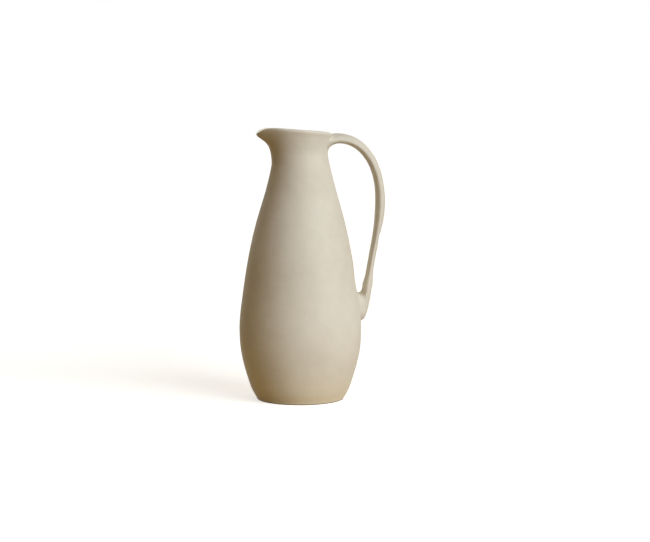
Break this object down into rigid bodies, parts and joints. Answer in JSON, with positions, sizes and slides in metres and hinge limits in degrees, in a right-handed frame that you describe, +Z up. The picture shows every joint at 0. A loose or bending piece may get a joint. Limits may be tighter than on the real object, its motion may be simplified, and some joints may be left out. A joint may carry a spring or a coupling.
{
  "type": "ceramic jug",
  "caption": "Tall pear-shaped ceramic jug with a narrow neck, a pulled pouring spout and a strap handle from rim to belly, for holding and pouring water or wine.",
  "frame": {"origin": "centre of the foot ring's standing face, on the jug's axis, at the level of the table", "axes": "+Z up along the jug's axis, -X towards the spout and +X towards the handle, +Y square to both; the XZ plane is the mirror plane"},
  "size_m": [0.1642, 0.1358, 0.3013],
  "materials": {
    "body_clay": "matte, slightly chalky, cream",
    "handle_clay": "matte, smoothed by hand, cream",
    "joint_clay": "matte, smeared smooth, cream",
    "liner_glaze": "clear satin glaze over the clay"
  },
  "bodies": {
    "root": {"body": "body_clay", "handle": "handle_clay", "upper_joint_clay": "joint_clay", "lower_joint_clay": "joint_clay", "liner_glaze": "liner_glaze"}
  },
  "joints": []
}
